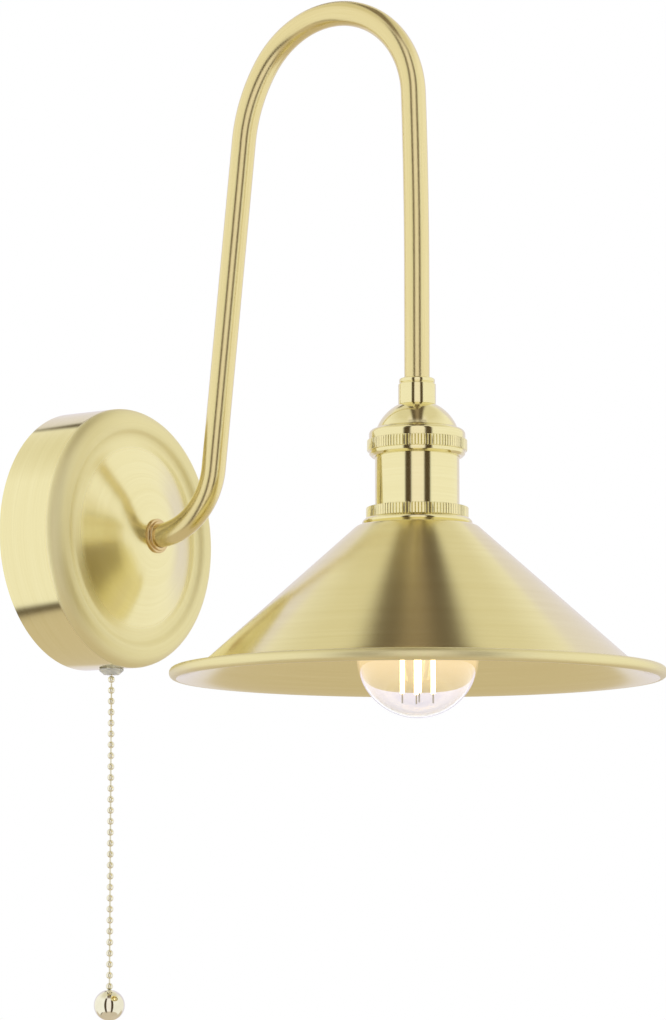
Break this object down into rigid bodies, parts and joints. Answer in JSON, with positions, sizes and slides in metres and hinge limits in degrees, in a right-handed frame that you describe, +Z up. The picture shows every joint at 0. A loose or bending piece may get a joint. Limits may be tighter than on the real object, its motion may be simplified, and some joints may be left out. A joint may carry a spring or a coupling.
{
  "type": "wall light",
  "caption": "Wall light with a round cover, a swan-neck tube arm, a fluted lampholder with a cone shade and bare bulb, and a beaded pull chain switch.",
  "frame": {"origin": "on the wall, at the centre of the round cover's bracket", "axes": "+Z up, +Y into the wall, so the light stands out along -Y, +X to the right seen from the room"},
  "size_m": [0.1834, 0.25, 0.3886],
  "materials": {
    "satin_brass": "fine brushed, clear lacquered",
    "fluted_brass": "turned and fluted, satin",
    "polished_brass": "polished, pale",
    "zinc_steel": "zinc plated",
    "terminal_brass": "plain",
    "white_plastic": "moulded",
    "frosted_plastic": "frosted, see-through",
    "porcelain": "unglazed",
    "clear_glass": "clear",
    "nickel": "nickel plated",
    "black_glass": "gloss",
    "filament": "phosphor coat",
    "wire": "drawn",
    "cable_sheath": "soft sheath",
    "core_sleeve": "soft sleeve"
  },
  "bodies": {
    "fixture": {"arm": "satin_brass", "arm_collar": "satin_brass", "arm_flex": "cable_sheath", "arm_nut": "zinc_steel", "arm_washer": "zinc_steel", "cap_ring": "fluted_brass", "centre_contact": "terminal_brass", "chain_gland": "frosted_plastic", "core_screws": "zinc_steel", "coupler": "satin_brass", "cover": "satin_brass", "cover_clip": "zinc_steel", "cover_screw": "zinc_steel", "earth_screw": "terminal_brass", "flex_cores": "core_sleeve", "grub_screw": "zinc_steel", "holder_cap": "satin_brass", "holder_core": "porcelain", "holder_nut": "zinc_steel", "holder_sleeve": "satin_brass", "return_spring": "zinc_steel", "screw_shell": "terminal_brass", "shade": "satin_brass", "shade_flange": "satin_brass", "switch_body": "white_plastic", "switch_contacts": "terminal_brass", "switch_leads": "core_sleeve", "switch_lid": "white_plastic", "terminal_block": "white_plastic", "terminal_screws": "terminal_brass", "terminal_sleeves": "terminal_brass", "wall_bracket": "zinc_steel", "wheel_pin": "zinc_steel"},
    "pull": {"pull_rod": "polished_brass"},
    "switch_wheel": {"ratchet_wheel": "white_plastic", "contact_disc": "white_plastic"},
    "top_bead": {"chain_top_bead": "polished_brass"},
    "chain": {"bead_chain": "polished_brass", "end_ball": "polished_brass"},
    "bulb": {"bulb_glass": "clear_glass", "bulb_cap": "nickel", "bulb_insulator": "black_glass", "bulb_stem": "clear_glass", "bulb_filaments": "filament", "bulb_wires": "wire"},
    "shade_ring": {"shade_ring": "fluted_brass"},
    "lock_ring": {"lock_ring": "fluted_brass"}
  },
  "joints": [
    {"name": "chain_pull", "type": "slide", "parent": "fixture", "child": "pull", "axis": [0, 0, -1], "range_m": [0, 0.008], "stiffness_N_per_m": 250, "springref_m": -0.006, "deforming": ["return_spring"]},
    {"name": "wheel_turn", "type": "hinge", "parent": "fixture", "child": "switch_wheel", "pos_m": [-0.0059, -0.015, -0.024], "axis": [0, 1, 0], "range_deg": [0, 92]},
    {"name": "chain_swing", "type": "hinge", "parent": "pull", "child": "top_bead", "pos_m": [0, -0.015, -0.05525], "axis": [1, 0, 0], "range_deg": [-30, 3.5]},
    {"name": "chain_sway", "type": "hinge", "parent": "top_bead", "child": "chain", "pos_m": [0, -0.015, -0.05525], "axis": [0, 1, 0], "range_deg": [-30, 30]},
    {"name": "bulb_turn", "type": "hinge", "parent": "fixture", "child": "bulb", "pos_m": [0, -0.15826, -0.0532], "axis": [0, 0, -1], "continuous": true},
    {"name": "shade_ring_turn", "type": "hinge", "parent": "fixture", "child": "shade_ring", "pos_m": [0, -0.15826, -0.0073], "axis": [0, 0, 1], "continuous": true},
    {"name": "lock_ring_turn", "type": "hinge", "parent": "fixture", "child": "lock_ring", "pos_m": [0, -0.15826, 0.0003], "axis": [0, 0, 1], "continuous": true}
  ],
  "couplings": [
    {"joint": "wheel_turn", "follows": "chain_pull", "rad_per_m": 196.08}
  ]
}
